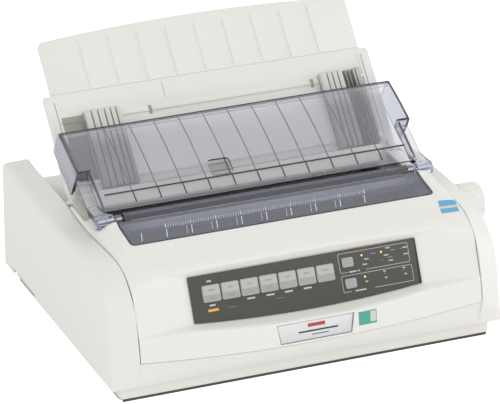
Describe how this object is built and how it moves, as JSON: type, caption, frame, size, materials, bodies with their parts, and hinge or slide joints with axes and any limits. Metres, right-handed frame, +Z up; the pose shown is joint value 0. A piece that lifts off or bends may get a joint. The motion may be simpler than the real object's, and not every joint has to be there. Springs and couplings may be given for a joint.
{
  "type": "dot matrix printer",
  "caption": "Desktop dot matrix printer with a raised rear sheet guide, tinted hinged covers, key panel and moving print carriage.",
  "frame": {"origin": "on the table, under the middle of the bounding box", "axes": "+X to the right seen from the front, along the platen; +Y to the rear; +Z up"},
  "size_m": [0.4238, 0.3234, 0.2508],
  "materials": {
    "case_plastic": "warm off-white ABS with a fine spark texture",
    "guide_plastic": "off-white ABS, satin",
    "panel_film": "dark warm grey printed film, satin",
    "key_plastic": "light grey moulded keys, satin",
    "lamp_lens": "amber lens",
    "circuit_board": "green solder mask",
    "silver_plate": "pale silver label plate",
    "tinted_clear": "smoke tinted clear plastic, polished",
    "steel_sheet": "zinc plated steel sheet",
    "steel_rod": "ground steel",
    "base_steel": "dark painted steel",
    "motor_case": "motor body",
    "platen_rubber": "ground black rubber",
    "foot_rubber": "moulded rubber",
    "belt_rubber": "toothed belt",
    "gear_plastic": "natural acetal",
    "black_plastic": "black moulded plastic",
    "ribbon_plastic": "black moulded plastic",
    "blue_plastic": "blue moulded plastic",
    "grey_ribs": "grey moulded plastic",
    "beige_plastic": "beige moulded plastic",
    "connector_metal": "plated connector shells"
  },
  "bodies": {
    "case": {"rubber_feet": "foot_rubber", "base_plate": "base_steel", "lower_case": "case_plastic", "upper_cover": "case_plastic", "rear_cover": "case_plastic", "control_panel": "panel_film", "panel_lamps": "lamp_lens", "panel_board": "circuit_board", "nameplate": "silver_plate", "hinge_pins": "steel_rod", "left_side_frame": "steel_sheet", "right_side_frame": "steel_sheet", "frame_stays": "steel_rod", "carriage_shaft": "steel_rod", "guide_rail": "steel_sheet", "drive_belt": "belt_rubber", "carriage_motor": "motor_case", "line_feed_motor": "motor_case", "feed_belt": "belt_rubber", "paper_chute": "black_plastic", "control_board": "circuit_board", "power_supply": "steel_sheet", "power_inlet": "black_plastic", "interface_ports": "connector_metal", "case_screws": "steel_rod"},
    "platen": {"platen_roller": "platen_rubber", "platen_shaft": "steel_rod", "platen_knob": "case_plastic", "platen_gear": "gear_plastic"},
    "feed_idler": {"idler_gear": "gear_plastic"},
    "feed_motor_rotor": {"feed_pinion": "steel_rod"},
    "pressure_roller": {"pressure_rollers": "black_plastic"},
    "print_carriage": {"carriage": "black_plastic", "print_head": "black_plastic", "ribbon_cartridge": "ribbon_plastic"},
    "ribbon_winder": {"ribbon_knob": "blue_plastic"},
    "carriage_motor_rotor": {"drive_pulley": "steel_rod"},
    "belt_idler": {"idler_pulley": "steel_rod"},
    "tractor_drive": {"tractor_shaft": "steel_rod"},
    "tractor_left": {"left_tractor": "black_plastic"},
    "tractor_right": {"right_tractor": "black_plastic"},
    "tractor_left_lid": {"left_tractor_door": "black_plastic"},
    "tractor_right_lid": {"right_tractor_door": "black_plastic"},
    "guide": {"sheet_guide": "guide_plastic", "paper_support": "guide_plastic"},
    "paper_edge_left": {"left_paper_guide": "grey_ribs"},
    "paper_edge_right": {"right_paper_guide": "grey_ribs"},
    "smoke_cover": {"acoustic_cover": "tinted_clear"},
    "window": {"access_window": "tinted_clear"},
    "feed_lever": {"paper_lever": "beige_plastic"},
    "switch": {"power_switch": "black_plastic"},
    "panel_key_1_body": {"panel_key_1": "key_plastic"},
    "panel_key_2_body": {"panel_key_2": "key_plastic"},
    "panel_key_3_body": {"panel_key_3": "key_plastic"},
    "panel_key_4_body": {"panel_key_4": "key_plastic"},
    "panel_key_5_body": {"panel_key_5": "key_plastic"},
    "panel_key_6_body": {"panel_key_6": "key_plastic"},
    "panel_key_7_body": {"panel_key_7": "key_plastic"},
    "small_key_1_body": {"small_key_1": "key_plastic"},
    "small_key_2_body": {"small_key_2": "key_plastic"}
  },
  "joints": [
    {"name": "platen_turn", "type": "hinge", "parent": "case", "child": "platen", "pos_m": [-0.013, -0.03194, 0.091], "axis": [1, 0, 0], "continuous": true},
    {"name": "idler_turn", "type": "hinge", "parent": "case", "child": "feed_idler", "pos_m": [-0.163, -0.00946, 0.07098], "axis": [1, 0, 0], "continuous": true},
    {"name": "feed_motor_turn", "type": "hinge", "parent": "case", "child": "feed_motor_rotor", "pos_m": [-0.163, 0.00405, 0.05894], "axis": [1, 0, 0], "continuous": true},
    {"name": "pressure_roller_turn", "type": "hinge", "parent": "case", "child": "pressure_roller", "pos_m": [-0.013, -0.03194, 0.0702], "axis": [1, 0, 0], "continuous": true},
    {"name": "tractor_drive_turn", "type": "hinge", "parent": "case", "child": "tractor_drive", "pos_m": [-0.013, 0.10476, 0.079], "axis": [1, 0, 0], "continuous": true},
    {"name": "carriage_travel", "type": "slide", "parent": "case", "child": "print_carriage", "axis": [1, 0, 0], "range_m": [0, 0.2048]},
    {"name": "carriage_motor_turn", "type": "hinge", "parent": "case", "child": "carriage_motor_rotor", "pos_m": [0.113, -0.09694, 0.03], "axis": [0, 0, 1], "range_deg": [-2, 1957.7]},
    {"name": "belt_idler_turn", "type": "hinge", "parent": "case", "child": "belt_idler", "pos_m": [-0.139, -0.09694, 0.03], "axis": [0, 0, 1], "range_deg": [-2, 1957.7]},
    {"name": "ribbon_knob_turn", "type": "hinge", "parent": "print_carriage", "child": "ribbon_winder", "pos_m": [-0.1374, -0.09594, 0.09], "axis": [0, 0, 1], "continuous": true},
    {"name": "left_tractor_slide", "type": "slide", "parent": "case", "child": "tractor_left", "axis": [1, 0, 0], "range_m": [0, 0.04]},
    {"name": "right_tractor_slide", "type": "slide", "parent": "case", "child": "tractor_right", "axis": [1, 0, 0], "range_m": [-0.1, 0]},
    {"name": "left_tractor_lid", "type": "hinge", "parent": "tractor_left", "child": "tractor_left_lid", "pos_m": [-0.1478, 0.10476, 0.0913], "axis": [0, -1, 0], "range_deg": [0, 100]},
    {"name": "right_tractor_lid", "type": "hinge", "parent": "tractor_right", "child": "tractor_right_lid", "pos_m": [0.1218, 0.10476, 0.0913], "axis": [0, 1, 0], "range_deg": [0, 100]},
    {"name": "sheet_guide_tilt", "type": "hinge", "parent": "case", "child": "guide", "pos_m": [-0.013, 0.04376, 0.124], "axis": [-1, 0, 0], "range_deg": [0, 38]},
    {"name": "left_paper_guide_slide", "type": "slide", "parent": "guide", "child": "paper_edge_left", "axis": [1, 0, 0], "range_m": [0, 0.06]},
    {"name": "right_paper_guide_slide", "type": "slide", "parent": "guide", "child": "paper_edge_right", "axis": [1, 0, 0], "range_m": [-0.06, 0]},
    {"name": "acoustic_cover_lift", "type": "hinge", "parent": "case", "child": "smoke_cover", "pos_m": [-0.013, -0.03364, 0.1363], "axis": [1, 0, 0], "range_deg": [0, 50]},
    {"name": "window_lift", "type": "hinge", "parent": "case", "child": "window", "pos_m": [-0.013, -0.03364, 0.1363], "axis": [-1, 0, 0], "range_deg": [0, 75]},
    {"name": "paper_lever_turn", "type": "hinge", "parent": "case", "child": "feed_lever", "pos_m": [-0.179, 0.00876, 0.115], "axis": [1, 0, 0], "range_deg": [0, 18]},
    {"name": "power_switch_rock", "type": "hinge", "parent": "case", "child": "switch", "pos_m": [0.1792, -0.05524, 0.058], "axis": [0, 1, 0], "range_deg": [0, 8]},
    {"name": "panel_key_1_press", "type": "slide", "parent": "case", "child": "panel_key_1_body", "axis": [0, 0.8968, -0.4424], "range_m": [0, 0.0008], "stiffness_N_per_m": 300},
    {"name": "panel_key_2_press", "type": "slide", "parent": "case", "child": "panel_key_2_body", "axis": [0, 0.8968, -0.4424], "range_m": [0, 0.0008], "stiffness_N_per_m": 300},
    {"name": "panel_key_3_press", "type": "slide", "parent": "case", "child": "panel_key_3_body", "axis": [0, 0.8968, -0.4424], "range_m": [0, 0.0008], "stiffness_N_per_m": 300},
    {"name": "panel_key_4_press", "type": "slide", "parent": "case", "child": "panel_key_4_body", "axis": [0, 0.8968, -0.4424], "range_m": [0, 0.0008], "stiffness_N_per_m": 300},
    {"name": "panel_key_5_press", "type": "slide", "parent": "case", "child": "panel_key_5_body", "axis": [0, 0.8968, -0.4424], "range_m": [0, 0.0008], "stiffness_N_per_m": 300},
    {"name": "panel_key_6_press", "type": "slide", "parent": "case", "child": "panel_key_6_body", "axis": [0, 0.8968, -0.4424], "range_m": [0, 0.0008], "stiffness_N_per_m": 300},
    {"name": "panel_key_7_press", "type": "slide", "parent": "case", "child": "panel_key_7_body", "axis": [0, 0.8968, -0.4424], "range_m": [0, 0.0008], "stiffness_N_per_m": 300},
    {"name": "small_key_1_press", "type": "slide", "parent": "case", "child": "small_key_1_body", "axis": [0, 0.8968, -0.4424], "range_m": [0, 0.0008], "stiffness_N_per_m": 300},
    {"name": "small_key_2_press", "type": "slide", "parent": "case", "child": "small_key_2_body", "axis": [0, 0.8968, -0.4424], "range_m": [0, 0.0008], "stiffness_N_per_m": 300}
  ],
  "couplings": [
    {"joint": "idler_turn", "follows": "platen_turn", "ratio": -1.5},
    {"joint": "feed_motor_turn", "follows": "platen_turn", "ratio": 3},
    {"joint": "pressure_roller_turn", "follows": "platen_turn", "ratio": -3.1},
    {"joint": "tractor_drive_turn", "follows": "platen_turn", "ratio": 1},
    {"joint": "carriage_motor_turn", "follows": "carriage_travel", "rad_per_m": 166.67},
    {"joint": "belt_idler_turn", "follows": "carriage_travel", "rad_per_m": 166.67}
  ]
}
